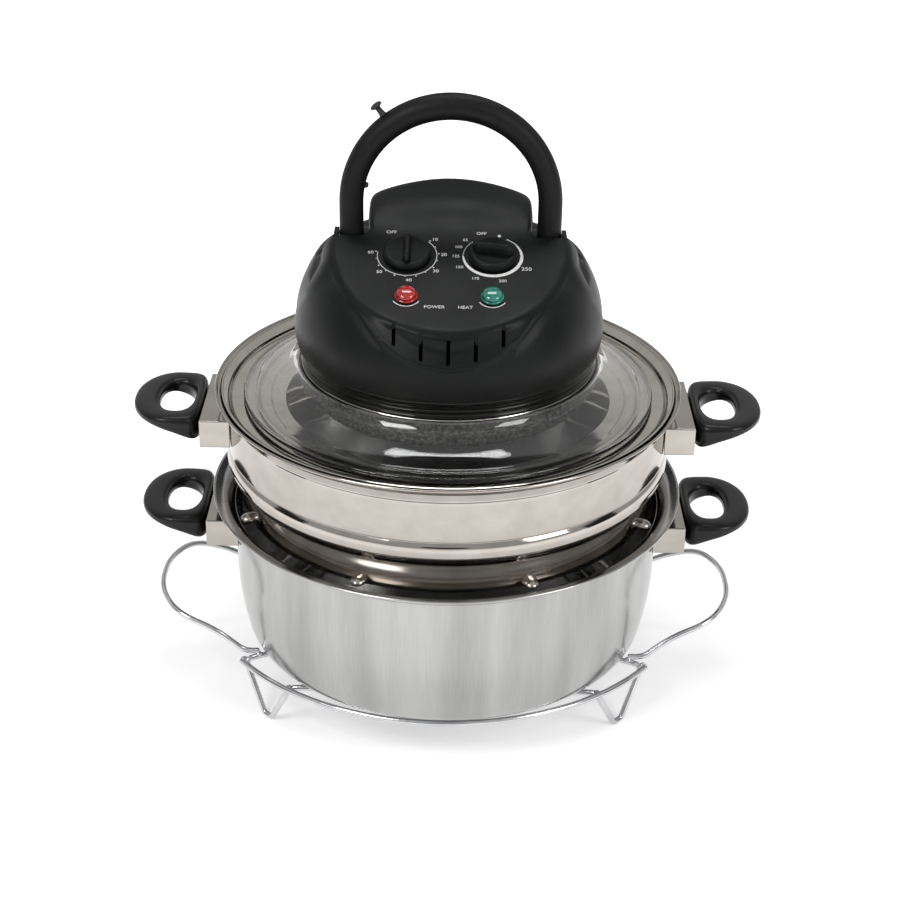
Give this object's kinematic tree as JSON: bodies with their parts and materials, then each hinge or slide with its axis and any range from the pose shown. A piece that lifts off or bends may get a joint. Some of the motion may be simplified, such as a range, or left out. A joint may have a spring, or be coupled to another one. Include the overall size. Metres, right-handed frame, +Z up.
{
  "type": "halogen oven",
  "caption": "Heater head with glass lid, carrying bail and control panel on a two-tier steel pot with side handles, resting on a wire stand.",
  "frame": {"origin": "on the ground under the oven's vertical axis", "axes": "+Z up, -Y to the front where the control panel faces, +X to the right as seen from the front"},
  "size_m": [0.498, 0.378, 0.4953],
  "materials": {
    "chrome_wire": "bright plated wire",
    "satin_steel": "satin stainless steel",
    "polished_steel": "polished stainless steel",
    "plated_steel": "zinc plated sheet",
    "bakelite": "satin moulded phenolic",
    "matte_black": "fine textured moulding",
    "gloss_black": "glossy moulding",
    "clear_glass": "clear tempered glass",
    "red_lens": "translucent red",
    "green_lens": "translucent green",
    "quartz": "quartz tube",
    "ceramic": "unglazed white ceramic",
    "rubber": "black rubber"
  },
  "bodies": {
    "stand": {"stand_front_arc": "chrome_wire", "stand_rear_arc": "chrome_wire", "stand_front_support": "chrome_wire", "stand_rear_support": "chrome_wire", "stand_left_support": "chrome_wire", "stand_right_support": "chrome_wire", "stand_foot_front_left": "chrome_wire", "stand_foot_front_right": "chrome_wire", "stand_foot_rear_left": "chrome_wire", "stand_foot_rear_right": "chrome_wire", "stand_left_loop": "chrome_wire", "stand_right_loop": "chrome_wire"},
    "pot": {"lower_pot": "satin_steel", "lower_pot_bracket_left": "polished_steel", "lower_pot_bracket_right": "polished_steel", "lower_pot_handle_left": "bakelite", "lower_pot_handle_right": "bakelite"},
    "ring": {"upper_ring": "polished_steel", "upper_ring_bracket_left": "polished_steel", "upper_ring_bracket_right": "polished_steel", "upper_ring_handle_left": "bakelite", "upper_ring_handle_right": "bakelite"},
    "adapter": {"adapter_ring": "polished_steel"},
    "head": {"glass_lid": "clear_glass", "glass_retaining_ring": "plated_steel", "head_skirt": "gloss_black", "head_cover": "matte_black", "heat_shield": "plated_steel", "heater_guard": "plated_steel", "halogen_lamp": "quartz", "lamp_holder_left": "ceramic", "lamp_holder_right": "ceramic", "fan_motor": "plated_steel", "motor_bracket": "plated_steel", "timer_body": "gloss_black", "thermostat_body": "plated_steel", "handle_switch": "gloss_black", "power_inlet": "gloss_black", "power_lens": "red_lens", "heat_lens": "green_lens", "pivot_seat_left": "matte_black", "pivot_seat_right": "matte_black", "pivot_pin_left": "plated_steel", "pivot_pin_right": "plated_steel"},
    "bail": {"bail_handle": "matte_black", "bail_peg": "rubber", "bail_nub": "rubber"},
    "timer": {"timer_knob": "matte_black"},
    "thermostat": {"thermostat_knob": "matte_black"},
    "fan": {"fan_shaft": "plated_steel", "convection_fan": "plated_steel", "cooling_fan": "matte_black"},
    "plunger": {"switch_plunger": "red_lens"}
  },
  "joints": [
    {"name": "pot_lift", "type": "slide", "parent": "stand", "child": "pot", "axis": [0, 0, 1], "range_m": [0, 0.1]},
    {"name": "ring_lift", "type": "slide", "parent": "pot", "child": "ring", "axis": [0, 0, 1], "range_m": [0, 0.15]},
    {"name": "adapter_lift", "type": "slide", "parent": "ring", "child": "adapter", "axis": [0, 0, 1], "range_m": [0, 0.08]},
    {"name": "head_lift", "type": "slide", "parent": "adapter", "child": "head", "axis": [0, 0, 1], "range_m": [0, 0.2]},
    {"name": "bail_fold", "type": "hinge", "parent": "head", "child": "bail", "pos_m": [0, 0, 0.3805], "axis": [-1, 0, 0], "range_deg": [0, 90]},
    {"name": "timer_turn", "type": "hinge", "parent": "head", "child": "timer", "pos_m": [-0.032, -0.033, 0.38025], "axis": [0, 0.342, -0.9397], "range_deg": [0, 300]},
    {"name": "thermostat_turn", "type": "hinge", "parent": "head", "child": "thermostat", "pos_m": [0.032, -0.033, 0.38025], "axis": [0, 0.342, -0.9397], "range_deg": [0, 270]},
    {"name": "fan_spin", "type": "hinge", "parent": "head", "child": "fan", "pos_m": [0, 0, 0.3], "axis": [0, 0, 1], "continuous": true},
    {"name": "plunger_press", "type": "slide", "parent": "head", "child": "plunger", "axis": [0, 0, -1], "range_m": [0, 0.0017]}
  ],
  "couplings": [
    {"joint": "plunger_press", "follows": "bail_fold", "m_per_rad": 0.00108}
  ]
}
